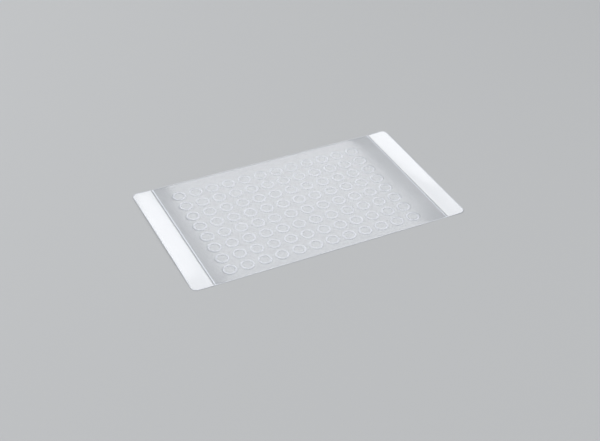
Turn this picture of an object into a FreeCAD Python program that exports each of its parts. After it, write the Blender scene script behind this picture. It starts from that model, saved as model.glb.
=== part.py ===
import FreeCAD, Part
import math
import os
from FreeCAD import Vector

# A clear adhesive film for a 96-well plate, lying flat with its glue side down. The middle of its
# backing has been peeled off, and the two strips left under its ends are the tabs that it is held by.
# Millimetres. The origin is on the floor under the middle of the film, +X along its length, +Z up.

# Film
film_length = 147.0
film_width = 81.2
film_thickness = 0.10
corner_radius = 3.0

# Backing strips under the two ends, which curl up a little from the floor
tab_width = 10.2
backing_thickness = 0.12
curl_radius = 90.0

# Where the film comes down off a strip's inner edge to the floor
step_run = 0.45

# Tear lines: a row of short slits through the film beside each strip
tear_line_offset = 0.65
slit_length = 1.6
slit_width = 0.16
slit_pitch = 2.4

# How far cutting shapes and sections run past what they cut
overrun = 1.0

strip_edge = film_length / 2 - tab_width
flat_end = strip_edge - step_run
curl_angle = math.asin((tab_width + overrun) / curl_radius)
under_film_radius = curl_radius - backing_thickness
over_film_radius = under_film_radius - film_thickness


def section_point(x, z):
    """A point of a section, which is drawn on the plane at the film's front edge."""
    return Vector(x, -film_width / 2, z)


def curl_point(side, radius, angle):
    """A point on a curled end, at an angle from where the curl leaves the floor."""
    x = strip_edge + radius * math.sin(angle)
    z = curl_radius - radius * math.cos(angle)
    return section_point(side * x, z)


def line(start, end):
    return Part.LineSegment(start, end).toShape()


def curl_arc(side, radius):
    """The curled part of a section's line. All its lines share one centre above the strip's inner edge."""
    start = curl_point(side, radius, 0)
    middle = curl_point(side, radius, curl_angle / 2)
    end = curl_point(side, radius, curl_angle)
    return Part.Arc(start, middle, end).toShape()


def curl_end(side, lower_radius, upper_radius):
    """The short line that closes a section at its outer end."""
    lower = curl_point(side, lower_radius, curl_angle)
    upper = curl_point(side, upper_radius, curl_angle)
    return line(lower, upper)


def film_end_edges(side):
    """One end of the film's section: up the step, over the strip, round the end and back."""
    under_flat = section_point(side * flat_end, 0)
    over_flat = section_point(side * flat_end, film_thickness)
    under_step = curl_point(side, under_film_radius, 0)
    over_step = curl_point(side, over_film_radius, 0)
    return [
        line(under_flat, under_step),
        curl_arc(side, under_film_radius),
        curl_end(side, under_film_radius, over_film_radius),
        curl_arc(side, over_film_radius),
        line(over_step, over_flat),
    ]


def film_section():
    """The film seen from its front edge: flat in the middle, stepped up and curled at both ends."""
    under = line(section_point(-flat_end, 0), section_point(flat_end, 0))
    over = line(section_point(-flat_end, film_thickness), section_point(flat_end, film_thickness))
    return film_end_edges(-1) + [under] + film_end_edges(1) + [over]


def strip_section(side):
    """A backing strip seen from the film's front edge."""
    lower = curl_point(side, curl_radius, 0)
    upper = curl_point(side, under_film_radius, 0)
    return [
        line(lower, upper),
        curl_arc(side, under_film_radius),
        curl_end(side, curl_radius, under_film_radius),
        curl_arc(side, curl_radius),
    ]


def sheet(section_edges):
    """A section drawn out over the film's width."""
    wire = Part.Wire(Part.__sortEdges__(section_edges))
    return Part.Face(wire).extrude(Vector(0, film_width, 0))


def upright_edges(shape):
    return [edge for edge in shape.Edges if edge.BoundBox.ZLength > edge.BoundBox.DiagonalLength / 2]


def die_outline():
    """The die that cuts film and strips together: the outline with its four round corners."""
    depth = curl_radius + overrun
    block = Part.makeBox(film_length, film_width, depth, Vector(-film_length / 2, -film_width / 2, -overrun))
    return block.makeFillet(corner_radius, upright_edges(block))


def slit(x, y):
    """One slit of a tear line, cut right through."""
    corner = Vector(x - slit_width / 2, y - slit_length / 2, -overrun)
    return Part.makeBox(slit_width, slit_length, film_thickness + backing_thickness + 2 * overrun, corner)


def tear_line(side):
    """A row of slits across the film, evenly spaced from the middle, that runs out through both edges."""
    x = side * (strip_edge - tear_line_offset)
    half_count = math.ceil(film_width / 2 / slit_pitch)
    return [slit(x, step * slit_pitch) for step in range(-half_count, half_count + 1)]


def clear_film():
    blank = sheet(film_section()).common(die_outline())
    return blank.cut(tear_line(-1) + tear_line(1))


def end_strip(side):
    return sheet(strip_section(side)).common(die_outline())


def single_solid(shape):
    """The one solid in the result of a cut."""
    return shape.Solids[0]


parts = {
    "clear_film": clear_film(),
    "left_backing_strip": end_strip(-1),
    "right_backing_strip": end_strip(1),
}

os.makedirs("parts", exist_ok=True)
for name, shape in parts.items():
    solid = single_solid(shape)
    solid.exportStep(f"parts/{name}.step")
    box = solid.BoundBox
    print(name, len(shape.Solids), "solid", round(solid.Volume, 3), "mm3, top", round(box.ZMax, 3))
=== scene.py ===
import math

import bpy
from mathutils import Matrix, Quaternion, Vector, noise
from mathutils.geometry import delaunay_2d_cdt


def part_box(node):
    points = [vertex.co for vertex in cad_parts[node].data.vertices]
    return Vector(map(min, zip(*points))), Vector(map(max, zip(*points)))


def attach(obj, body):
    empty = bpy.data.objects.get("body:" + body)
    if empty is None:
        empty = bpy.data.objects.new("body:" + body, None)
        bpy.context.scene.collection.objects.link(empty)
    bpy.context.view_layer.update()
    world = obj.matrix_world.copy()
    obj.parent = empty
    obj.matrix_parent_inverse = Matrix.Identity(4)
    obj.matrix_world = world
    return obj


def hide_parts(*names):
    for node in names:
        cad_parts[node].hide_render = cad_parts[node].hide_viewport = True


# A clear sealing film with a white backing strip under each end, lying on a pale floor.
# Everything is in metres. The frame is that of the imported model: +X along the film, +Z up.

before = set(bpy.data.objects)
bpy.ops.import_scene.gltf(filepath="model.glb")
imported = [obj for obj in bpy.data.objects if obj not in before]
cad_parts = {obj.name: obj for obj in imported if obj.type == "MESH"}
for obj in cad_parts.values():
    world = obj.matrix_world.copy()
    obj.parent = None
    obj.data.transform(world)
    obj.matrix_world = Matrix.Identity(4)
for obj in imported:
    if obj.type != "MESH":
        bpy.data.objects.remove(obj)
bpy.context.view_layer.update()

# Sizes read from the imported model
film_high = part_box("clear_film")[1]
strip_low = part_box("right_backing_strip")[0]
HALF_LENGTH = film_high.x
HALF_WIDTH = film_high.y
STRIP_EDGE = strip_low.x
TAB_WIDTH = HALF_LENGTH - STRIP_EDGE

# Sizes of the film and its strips
CORNER_RADIUS = 0.003
FILM_THICKNESS = 0.0001
BACKING_THICKNESS = 0.00012
GLUE_GAP = 0.00001
STEP_RUN = 0.00045
TEAR_LINE_OFFSET = 0.00065
SLIT_LENGTH = 0.0016
SLIT_WIDTH = 0.00016
SLIT_PITCH = 0.0024
# Width of the white band painted beside each slit as a highlight along the tear line
LIP_WIDTH = 0.0007

# Marks where the film was pressed on the rims of the wells
WELL_PITCH = 0.009
WELL_COLUMNS = 12
WELL_ROWS = 8
WELLS_CENTRE = Vector((-0.0025, -0.0016))
RIM_RADIUS = 0.003
RIM_HALF_WIDTH = 0.0007
RIM_HEIGHT = 0.00002

# Shallow ripples in the bare film, which die out towards the strips and are lowest in the middle
RIPPLE_HEIGHT = 0.00022
RIPPLE_LENGTH = 0.034
RIPPLE_STRETCH = 0.6
RIPPLE_CHOICE = 1.7
RIPPLE_END = 0.014
CALM_WIDTH = 0.6
CALM_SHARE = 0.5

# How far the ends curl up. Shares are of the most lift, and places across run from -1 to 1
TAB_LIFT = film_high.z - FILM_THICKNESS - GLUE_GAP - BACKING_THICKNESS
LEFT_LIFT = 0.7
LEFT_BOW = 0.55
LEFT_BOW_PLACE = 0.1
RIGHT_FRONT_LIFT = 0.2
RIGHT_RISE_PLACE = -0.5

# Mesh spacing: a plain grid, points along edges, and rows of points beside edges and tear lines
GRID = 0.001125
EDGE_SPACING = 0.0008
CORNER_SPACING = EDGE_SPACING / 2
EDGE_ROWS = (0.0002, 0.0005, 0.0009)
TEAR_ROW = 0.0011
TEAR_MARGIN = 0.0015
LIP_ROWS = (1, 0.5, 0)
STEP_ROWS = (0.66, 0.33, 0)
STRIP_ROW = 0.0004
STRIP_MARGIN = 0.001
ROW_SPACING = SLIT_PITCH / 6
RIM_STEPS = 3
RIM_POINTS = 36
WELL_REACH = 0.0042
INSIDE_WITH_HOLES = 2
MERGE_DISTANCE = 1e-7

# Looks of the film. Haze and mirror are shares, and pairs are the least and the most
FILM_CLEAR = (0.972, 0.98, 0.995, 1)
# Colour of the milky haze, also used for the painted highlights along the edges and tear lines
FILM_HAZE_AND_HIGHLIGHT_COLOUR = (0.88, 0.915, 0.99, 1)
FILM_HAZE = (0.01, 0.04)
FILM_MIRROR = (0.05, 1.0)
FILM_ROUGHNESS = (0.05, 0.11)
GLUE_ROUGHNESS = (0.06, 0.16)
RIM_HAZE = 0.65
# The band along the film's edge is partly frost and partly a painted highlight of the light its cut edge
# catches
EDGE_HAZE_AND_HIGHLIGHT = 0.95
# The lips beside the slits are painted white as a highlight along the tear line
LIP_PAINTED_HIGHLIGHT = 1.0
HAZE_GRAIN = (0.85, 1.15)
CUT_COVER = 0.6
CUT_DARK = (0.72, 0.76, 0.82, 1)
CUT_LIGHT = (0.92, 0.94, 0.97, 1)

# Looks of the paper and the floor
PAPER_DARK = (0.90, 0.905, 0.91, 1)
PAPER_LIGHT = (0.965, 0.965, 0.965, 1)
PAPER_ROUGHNESS = (0.42, 0.62)
PAPER_EDGE_DARK = (0.6, 0.6, 0.6, 1)
PAPER_EDGE_LIGHT = (0.85, 0.85, 0.85, 1)
FLOOR_GREY = (0.52, 0.53, 0.54, 1)
FLOOR_HALF = 4
FLOOR_DROP = 0.00004

# Noise, in waves per metre
GRAIN_WAVES = 900.0
CLOUD_WAVES = 70.0
SKIN_WAVES = 260.0
GLUE_WAVES = 110.0
CUT_WAVES = 1500.0
FIBRE_WAVES = 1400.0
PAPER_CLOUD_WAVES = 120.0
PAPER_EDGE_WAVES = 2500.0

# Camera, fitted to the photograph
CAMERA_PLACE = Vector((-0.2094, -0.3939, 0.3296))
CAMERA_TARGET = Vector((-0.0055, -0.0129, 0))
CAMERA_ROLL = math.radians(2.36)
CAMERA_LENS = 66.29


def smooth(low, high, value):
    """0 below low, 1 above high, and smooth between them."""
    share = min(max((value - low) / (high - low), 0), 1)
    return share * share * (3 - 2 * share)


def nearest_well(x, y):
    """The distance to the middle of the nearest well."""
    column = (x - WELLS_CENTRE.x) / WELL_PITCH + (WELL_COLUMNS - 1) / 2
    row = (y - WELLS_CENTRE.y) / WELL_PITCH + (WELL_ROWS - 1) / 2
    column -= min(max(round(column), 0), WELL_COLUMNS - 1)
    row -= min(max(round(row), 0), WELL_ROWS - 1)
    return math.hypot(column, row) * WELL_PITCH


def rim_mark(x, y):
    """1 on the middle of a ring-shaped mark, falling to 0 at its sides."""
    return 1 - smooth(0, RIM_HALF_WIDTH, abs(nearest_well(x, y) - RIM_RADIUS))


def tab_lift_share(x, y):
    """How far an end curls up, as a share of the most: the left one bowed, the right one high at the back."""
    across = y / HALF_WIDTH
    if x < 0:
        return LEFT_LIFT - LEFT_BOW * (across - LEFT_BOW_PLACE) ** 2
    return RIGHT_FRONT_LIFT + (1 - RIGHT_FRONT_LIFT) * smooth(RIGHT_RISE_PLACE, 1, across)


def strip_under(x, y):
    """Height of a backing strip's underside."""
    along = max(abs(x) - STRIP_EDGE, 0) / TAB_WIDTH
    return TAB_LIFT * along * along * tab_lift_share(x, y)


def ripple(x, y):
    """The film's shallow ripples, which die out where the stiff strips hold it."""
    hold = smooth(0, RIPPLE_END, STRIP_EDGE - abs(x))
    wave = noise.noise(Vector((x / RIPPLE_LENGTH, RIPPLE_STRETCH * y / RIPPLE_LENGTH, RIPPLE_CHOICE)))
    edge_lift = CALM_SHARE + (1 - CALM_SHARE) * smooth(CALM_WIDTH, 1, abs(y) / HALF_WIDTH)
    return RIPPLE_HEIGHT * hold * edge_lift * (1 + wave) / 2


def film_under(x, y):
    """Height of the film's underside: on the floor, up the step and over the strip."""
    step = smooth(STRIP_EDGE - STEP_RUN, STRIP_EDGE, abs(x))
    on_strip = strip_under(x, y) + BACKING_THICKNESS + GLUE_GAP
    return ripple(x, y) + RIM_HEIGHT * rim_mark(x, y) + step * on_strip


def corner(x, y, radius, quarter):
    """Points round a corner whose arc centre is at x, y. quarter 0 is the one at +X, +Y."""
    count = max(round(radius * math.pi / 2 / CORNER_SPACING), 1)
    start = quarter * math.pi / 2
    angles = [start + math.pi / 2 * step / count for step in range(count + 1)]
    return [(x + radius * math.cos(angle), y + radius * math.sin(angle)) for angle in angles]


def straight(start, end):
    """Points from start towards end, without either, about an edge's spacing apart."""
    length = math.dist(start, end)
    count = max(round(length / EDGE_SPACING), 1)
    return [
        (start[0] + (end[0] - start[0]) * step / count, start[1] + (end[1] - start[1]) * step / count)
        for step in range(1, count)
    ]


def closed_outline(corners):
    """Joins lists of corner points by straight rows of points."""
    loop = []
    for index, points in enumerate(corners):
        loop += points
        loop += straight(points[-1], corners[(index + 1) % len(corners)][0])
    return loop


def nick(x, side):
    """The half slit that a tear line cuts into the film's front or back edge, in the loop's direction."""
    depth = open_nick_depth()
    inner = side * (HALF_WIDTH - depth)
    outer = side * HALF_WIDTH
    first, last = x + side * SLIT_WIDTH / 2, x - side * SLIT_WIDTH / 2
    return [(first, outer), (first, inner), (last, inner), (last, outer)]


def open_nick_depth():
    """How deep the outermost slit of a tear line cuts into the film's edge."""
    outermost = math.ceil(HALF_WIDTH / SLIT_PITCH) * SLIT_PITCH
    return HALF_WIDTH - (outermost - SLIT_LENGTH / 2)


def film_outline():
    """The film's edge, counter-clockwise from its back right corner, with the tear lines' nicks."""
    x = HALF_LENGTH - CORNER_RADIUS
    y = HALF_WIDTH - CORNER_RADIUS
    tear = STRIP_EDGE - TEAR_LINE_OFFSET
    return closed_outline([
        corner(x, y, CORNER_RADIUS, 0),
        nick(tear, 1),
        nick(-tear, 1),
        corner(-x, y, CORNER_RADIUS, 1),
        corner(-x, -y, CORNER_RADIUS, 2),
        nick(-tear, -1),
        nick(tear, -1),
        corner(x, -y, CORNER_RADIUS, 3),
    ])


def strip_outline(side):
    """A backing strip's edge: square corners inside, round ones at the film's end."""
    x = HALF_LENGTH - CORNER_RADIUS
    y = HALF_WIDTH - CORNER_RADIUS
    loop = closed_outline([
        corner(x, y, CORNER_RADIUS, 0),
        [(STRIP_EDGE, HALF_WIDTH)],
        [(STRIP_EDGE, -HALF_WIDTH)],
        corner(x, -y, CORNER_RADIUS, 3),
    ])
    if side > 0:
        return loop
    return [(-x, y) for x, y in reversed(loop)]


def edge_depth(x, y):
    """How far inside the film's rounded outline a point lies."""
    over_x = abs(x) - (HALF_LENGTH - CORNER_RADIUS)
    over_y = abs(y) - (HALF_WIDTH - CORNER_RADIUS)
    outside = math.hypot(max(over_x, 0), max(over_y, 0))
    return CORNER_RADIUS - outside - min(max(over_x, over_y), 0)


def edge_rows():
    """Rows of points close inside the film's edge."""
    points = []
    for depth in EDGE_ROWS:
        x = HALF_LENGTH - CORNER_RADIUS
        y = HALF_WIDTH - CORNER_RADIUS
        radius = CORNER_RADIUS - depth
        points += closed_outline([
            corner(x, y, radius, 0),
            corner(-x, y, radius, 1),
            corner(-x, -y, radius, 2),
            corner(x, -y, radius, 3),
        ])
    return points


def rows_along(xs, spacing):
    """Rows of points across the film at each x, spaced evenly from the middle."""
    count = int(HALF_WIDTH / spacing)
    return [(x, step * spacing) for x in xs for step in range(-count, count + 1)]


def circle(x, y, radius, count, turn):
    """Evenly spaced points round a centre, turned by a share of their spacing."""
    angles = [(step + turn) * 2 * math.pi / count for step in range(count)]
    return [(x + radius * math.cos(angle), y + radius * math.sin(angle)) for angle in angles]


def well_rings():
    """Circles of points round each well, closest together over the ring-shaped mark."""
    points = []
    for column in range(WELL_COLUMNS):
        for row in range(WELL_ROWS):
            x = WELLS_CENTRE.x + (column - (WELL_COLUMNS - 1) / 2) * WELL_PITCH
            y = WELLS_CENTRE.y + (row - (WELL_ROWS - 1) / 2) * WELL_PITCH
            points.append((x, y))
            points += circle(x, y, RIM_RADIUS / 3, RIM_POINTS // 4, 0)
            points += circle(x, y, RIM_RADIUS * 0.6, RIM_POINTS // 2, 0)
            for step in range(-RIM_STEPS, RIM_STEPS + 1):
                radius = RIM_RADIUS + RIM_HALF_WIDTH * step / RIM_STEPS
                points += circle(x, y, radius, RIM_POINTS, step % 2 / 2)
            points += circle(x, y, WELL_REACH, RIM_POINTS * 2 // 3, 0)
    return points


def slits(side):
    """The closed slits of a tear line, as loops of corner points."""
    x = side * (STRIP_EDGE - TEAR_LINE_OFFSET)
    count = math.ceil(HALF_WIDTH / SLIT_PITCH) - 1
    loops = []
    for step in range(-count, count + 1):
        y = step * SLIT_PITCH
        low, high = y - SLIT_LENGTH / 2, y + SLIT_LENGTH / 2
        left, right = x - SLIT_WIDTH / 2, x + SLIT_WIDTH / 2
        loops.append([(left, low), (right, low), (right, y), (right, high), (left, high), (left, y)])
    return loops


def grid_points(x_low, x_high):
    """A plain grid of points between two x, inside the rows along the film's edge."""
    columns = range(math.ceil(x_low / GRID), math.floor(x_high / GRID) + 1)
    rows = range(-int(HALF_WIDTH / GRID), int(HALF_WIDTH / GRID) + 1)
    points = [(column * GRID, row * GRID) for column in columns for row in rows]
    return [(x, y) for x, y in points if edge_depth(x, y) > EDGE_ROWS[-1] + GRID / 2]


# Material slots of a thin sheet
TOP, UNDERSIDE, CUT = range(3)


def thin_sheet(name, loops, inner, under, thickness):
    """A closed thin solid from an outline, holes and inner points, over an underside given by a function."""
    flat = []
    faces = []
    for loop in loops:
        faces.append(list(range(len(flat), len(flat) + len(loop))))
        flat += loop
    flat += inner
    flat = [Vector(p) for p in flat]
    corners, _, triangles, *_ = delaunay_2d_cdt(flat, [], faces, INSIDE_WITH_HOLES, MERGE_DISTANCE)
    count = len(corners)
    low = [(p.x, p.y, under(p.x, p.y)) for p in corners]
    high = [(x, y, z + thickness) for x, y, z in low]
    edges = [edge for a, b, c in triangles for edge in ((a, b), (b, c), (c, a))]
    known = set(edges)
    sides = [(a, b) for a, b in edges if (b, a) not in known]
    top = [(a + count, b + count, c + count) for a, b, c in triangles]
    bottom = [(c, b, a) for a, b, c in triangles]
    walls = [(a, b, b + count, a + count) for a, b in sides]
    mesh = bpy.data.meshes.new(name)
    mesh.from_pydata(low + high, [], top + bottom + walls)
    slots = [TOP] * len(top) + [UNDERSIDE] * len(bottom) + [CUT] * len(walls)
    mesh.polygons.foreach_set("material_index", slots)
    mesh.polygons.foreach_set("use_smooth", [slot != CUT for slot in slots])
    piece = bpy.data.objects.new(name, mesh)
    bpy.context.scene.collection.objects.link(piece)
    return piece


def paint(piece, attribute, value):
    """Stores a share for every point of a piece, worked out from its x and y."""
    layer = piece.data.attributes.new(attribute, "FLOAT", "POINT")
    layer.data.foreach_set("value", [value(v.co.x, v.co.y) for v in piece.data.vertices])


def edge_haze_and_highlight_share(x, y):
    """1 at the film's edge, falling to 0 a little way inside it: a milky band that is partly frost and partly
    a painted highlight.
    """
    return 1 - smooth(0, EDGE_ROWS[1], edge_depth(x, y))


def painted_lip_highlight_share(x, y):
    """1 on a slit's lip on the side away from the tab, falling to 0 beyond it: a white band painted on as a
    highlight along the tear line.
    """
    across = STRIP_EDGE - TEAR_LINE_OFFSET - abs(x)
    if across < 0:
        return 0
    along = abs(y - round(y / SLIT_PITCH) * SLIT_PITCH)
    away = math.hypot(max(across - SLIT_WIDTH / 2, 0), max(along - SLIT_LENGTH / 2, 0))
    return 1 - smooth(LIP_WIDTH / 2, LIP_WIDTH, away)


def bond_share(x, y):
    """1 where the film is glued to a strip, 0 where its underside is bare."""
    return smooth(STRIP_EDGE - STEP_RUN / 2, STRIP_EDGE, abs(x))


def make_film():
    """The clear film, over both strips."""
    tear = STRIP_EDGE - TEAR_LINE_OFFSET
    lip_rows = [tear - SLIT_WIDTH / 2 - LIP_WIDTH * share for share in LIP_ROWS]
    step_rows = [STRIP_EDGE - STEP_RUN * share for share in STEP_ROWS]
    rows = [tear - TEAR_ROW] + lip_rows + [tear + SLIT_WIDTH / 2] + step_rows + [STRIP_EDGE + STRIP_ROW]
    inner = rows_along([side * x for side in (-1, 1) for x in rows], ROW_SPACING)
    inner = [p for p in inner if edge_depth(*p) > EDGE_ROWS[0] / 2]
    inner += edge_rows()
    inner += well_rings()
    clear_of_wells = WELL_REACH + GRID / 4
    middle = grid_points(-tear + TEAR_MARGIN, tear - TEAR_MARGIN)
    inner += [(x, y) for x, y in middle if nearest_well(x, y) > clear_of_wells]
    inner += grid_points(STRIP_EDGE + STRIP_MARGIN, HALF_LENGTH)
    inner += grid_points(-HALF_LENGTH, -STRIP_EDGE - STRIP_MARGIN)
    loops = [film_outline()] + slits(-1) + slits(1)
    piece = thin_sheet("sealing_film", loops, inner, film_under, FILM_THICKNESS)
    paint(piece, "rim", rim_mark)
    # Painted highlights: the band along the edge, partly frost, and the white lips beside the slits
    paint(piece, "edge", edge_haze_and_highlight_share)
    paint(piece, "lip", painted_lip_highlight_share)
    paint(piece, "bond", bond_share)
    return piece


def make_strip(side, name):
    """A white backing strip under one end of the film."""
    x_low, x_high = sorted((side * STRIP_EDGE, side * HALF_LENGTH))
    inner = [p for p in edge_rows() if abs(p[0]) > STRIP_EDGE + STRIP_ROW / 2]
    inner += rows_along([side * (STRIP_EDGE + STRIP_ROW)], EDGE_SPACING)
    inner += [(x, y) for x, y in grid_points(x_low, x_high) if abs(x) > STRIP_EDGE + GRID / 2]
    return thin_sheet(name, [strip_outline(side)], inner, strip_under, BACKING_THICKNESS)


# Materials


def new_material(name):
    """An empty material and its node tree."""
    material = bpy.data.materials.new(name)
    material.use_nodes = True
    material.node_tree.nodes.clear()
    return material, material.node_tree


def node(tree, kind, inputs=None, **settings):
    """A node with its settings, and each input either linked or set."""
    made = tree.nodes.new(kind)
    for key, value in settings.items():
        setattr(made, key, value)
    for key, value in (inputs or {}).items():
        if isinstance(value, bpy.types.NodeSocket):
            tree.links.new(value, made.inputs[key])
        else:
            made.inputs[key].default_value = value
    return made


def finished(material, surface):
    """The material, with its surface linked to its output."""
    node(material.node_tree, "ShaderNodeOutputMaterial", {"Surface": surface})
    return material


def calc(tree, operation, first, second, third=0.0):
    """The result of one Math node."""
    return node(tree, "ShaderNodeMath", {0: first, 1: second, 2: third}, operation=operation).outputs[0]


def between(tree, share, least, most):
    """A number between two others."""
    return calc(tree, "MULTIPLY_ADD", share, most - least, least)


def tint(tree, share, first, second):
    """A colour between two others."""
    made = node(tree, "ShaderNodeMix", {"Factor": share, "A": first, "B": second}, data_type="RGBA")
    return made.outputs["Result"]


def share_of(tree, attribute):
    """A painted share, read back for a shader."""
    return node(tree, "ShaderNodeAttribute", attribute_name=attribute).outputs["Fac"]


def noise_value(tree, scale, detail=3.0, stretch=(1, 1, 1)):
    """Noise over the piece, with scale in waves per metre."""
    place = node(tree, "ShaderNodeTexCoord").outputs["Object"]
    moved = node(tree, "ShaderNodeMapping", {"Vector": place, "Scale": stretch}).outputs[0]
    made = node(tree, "ShaderNodeTexNoise", {"Vector": moved, "Scale": scale, "Detail": detail})
    return made.outputs["Fac"]


def bumps(tree, height, strength, distance):
    """Normals roughened by a height."""
    inputs = {"Height": height, "Strength": strength, "Distance": distance}
    return node(tree, "ShaderNodeBump", inputs).outputs[0]


def reflect_share(tree):
    """How much a clear surface mirrors, more at a grazing angle. It is alike for both of its sides."""
    facing = node(tree, "ShaderNodeLayerWeight", {"Blend": 0.5}).outputs["Facing"]
    return between(tree, calc(tree, "POWER", facing, 5.0), *FILM_MIRROR)


def transparent(tree, colour=(1, 1, 1, 1)):
    """What lets light through unbent."""
    return node(tree, "ShaderNodeBsdfTransparent", {"Color": colour}).outputs[0]


def glossy(tree, **inputs):
    """A colourless mirror coat."""
    return node(tree, "ShaderNodeBsdfGlossy", {"Color": (1, 1, 1, 1), **inputs}).outputs[0]


def opaque(tree, colour, **inputs):
    """A solid surface."""
    return node(tree, "ShaderNodeBsdfPrincipled", {"Base Color": colour, **inputs}).outputs[0]


def mix(tree, share, first, second):
    """Two shaders mixed, with the second one's share."""
    return node(tree, "ShaderNodeMixShader", {0: share, 1: first, 2: second}).outputs[0]


def film_material():
    """Clear plastic that mirrors a little and is milky at its rim marks, with a white band along its edges
    that is partly frost and partly painted highlight, and white lips at the tear lines that are painted
    highlight.
    """
    material, tree = new_material("clear film")
    grain = between(tree, noise_value(tree, GRAIN_WAVES), *HAZE_GRAIN)
    cloud = noise_value(tree, CLOUD_WAVES, 2.0)
    haze_and_highlight = between(tree, cloud, *FILM_HAZE)
    # The rim marks are haze; the edge band is partly frost and partly painted highlight, and the lips are
    # painted highlight
    for attribute, most in (("rim", RIM_HAZE), ("edge", EDGE_HAZE_AND_HIGHLIGHT), ("lip", LIP_PAINTED_HIGHLIGHT)):
        part = calc(tree, "MULTIPLY", share_of(tree, attribute), most)
        haze_and_highlight = calc(tree, "MULTIPLY_ADD", part, grain, haze_and_highlight)
    rough = between(tree, cloud, *FILM_ROUGHNESS)
    skin = bumps(tree, noise_value(tree, SKIN_WAVES, 2.0), 0.08, 0.00005)
    milky_and_highlight = node(tree, "ShaderNodeBsdfDiffuse", {"Color": FILM_HAZE_AND_HIGHLIGHT_COLOUR}).outputs[0]
    body = mix(tree, haze_and_highlight, transparent(tree, FILM_CLEAR), milky_and_highlight)
    mirror = glossy(tree, Roughness=rough, Normal=skin)
    return finished(material, mix(tree, reflect_share(tree), body, mirror))


def underside_material():
    """The film's glue side: clear, and with no shine of its own where it is stuck to a strip."""
    material, tree = new_material("clear film underside")
    rough = between(tree, noise_value(tree, GLUE_WAVES, 2.0), *GLUE_ROUGHNESS)
    bare = calc(tree, "SUBTRACT", 1.0, share_of(tree, "bond"))
    shine = calc(tree, "MULTIPLY", reflect_share(tree), bare)
    return finished(material, mix(tree, shine, transparent(tree), glossy(tree, Roughness=rough)))


def cut_edge_material():
    """The film's cut edge, which is rough and catches the light."""
    material, tree = new_material("cut edge")
    shade = tint(tree, noise_value(tree, CUT_WAVES), CUT_DARK, CUT_LIGHT)
    frosted = opaque(tree, shade, Roughness=0.35)
    return finished(material, mix(tree, CUT_COVER, transparent(tree), frosted))


def backing_material():
    """Smooth white release paper with a fine fibrous grain."""
    material, tree = new_material("white backing")
    fibre = noise_value(tree, FIBRE_WAVES, 4.0, (1, 0.35, 1))
    cloud = calc(tree, "MULTIPLY", noise_value(tree, PAPER_CLOUD_WAVES, 2.0), 0.4)
    mottle = calc(tree, "MULTIPLY_ADD", fibre, 0.6, cloud)
    shade = tint(tree, mottle, PAPER_DARK, PAPER_LIGHT)
    rough = between(tree, fibre, *PAPER_ROUGHNESS)
    grain = bumps(tree, fibre, 0.2, 0.00004)
    return finished(material, opaque(tree, shade, Roughness=rough, Normal=grain))


def paper_edge_material():
    """The cut edge of the paper, a little greyer than its face."""
    material, tree = new_material("paper edge")
    shade = tint(tree, noise_value(tree, PAPER_EDGE_WAVES), PAPER_EDGE_DARK, PAPER_EDGE_LIGHT)
    return finished(material, opaque(tree, shade, Roughness=0.8))


def floor_material():
    """Plain matt grey."""
    material, tree = new_material("floor")
    return finished(material, opaque(tree, FLOOR_GREY, Roughness=0.75))


# Stage


def make_camera():
    """The camera that sees the film as the photograph does."""
    camera = bpy.data.objects.new("camera", bpy.data.cameras.new("camera"))
    bpy.context.scene.collection.objects.link(camera)
    camera.data.lens = CAMERA_LENS
    camera.data.sensor_width = 36
    camera.data.clip_start = 0.01
    camera.location = CAMERA_PLACE
    aim = (CAMERA_TARGET - CAMERA_PLACE).to_track_quat("-Z", "Y")
    camera.rotation_mode = "QUATERNION"
    camera.rotation_quaternion = aim @ Quaternion((0, 0, 1), CAMERA_ROLL)
    bpy.context.scene.camera = camera


def make_floor():
    """A plain pale floor, just under the film."""
    ends = ((-1, -1), (1, -1), (1, 1), (-1, 1))
    corners = [(x * FLOOR_HALF, y * FLOOR_HALF, -FLOOR_DROP) for x, y in ends]
    mesh = bpy.data.meshes.new("floor")
    mesh.from_pydata(corners, [], [(0, 1, 2, 3)])
    mesh.materials.append(floor_material())
    floor = bpy.data.objects.new("floor", mesh)
    bpy.context.scene.collection.objects.link(floor)


def soft_light(name, place_at, size, power, level=False):
    """A soft box aimed at the film, or facing straight down."""
    lamp = bpy.data.lights.new(name, "AREA")
    lamp.shape = "RECTANGLE"
    lamp.size, lamp.size_y = size
    lamp.energy = power
    light = bpy.data.objects.new(name, lamp)
    bpy.context.scene.collection.objects.link(light)
    light.location = place_at
    if not level:
        light.rotation_mode = "QUATERNION"
        light.rotation_quaternion = (-Vector(place_at)).to_track_quat("-Z", "Y")


def make_lights():
    """A pale sky, a large key, a weaker fill, and a level box that the film mirrors."""
    world = bpy.data.worlds.new("studio")
    bpy.context.scene.world = world
    world.use_nodes = True
    sky = world.node_tree.nodes["Background"]
    sky.inputs["Color"].default_value = (0.98, 0.99, 1, 1)
    sky.inputs["Strength"].default_value = 0.4
    soft_light("key", (-0.75, 0.55, 0.95), size=(0.9, 0.9), power=9.9)
    soft_light("sheen", (0.378, 0.72, 0.6), size=(0.335, 0.3), power=0.63, level=True)
    soft_light("fill", (0.6, -0.7, 0.8), size=(0.8, 0.8), power=5)


make_camera()
film = make_film()
for material in (film_material(), underside_material(), cut_edge_material()):
    film.data.materials.append(material)
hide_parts("clear_film")
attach(film, "root")

paper_faces = backing_material()
paper_edges = paper_edge_material()
for side, end in ((-1, "left"), (1, "right")):
    strip = make_strip(side, f"{end}_tab_strip")
    for material in (paper_faces, paper_faces, paper_edges):
        strip.data.materials.append(material)
    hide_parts(f"{end}_backing_strip")
    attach(strip, "root")

make_floor()
make_lights()
bpy.context.scene.view_settings.view_transform = "Standard"
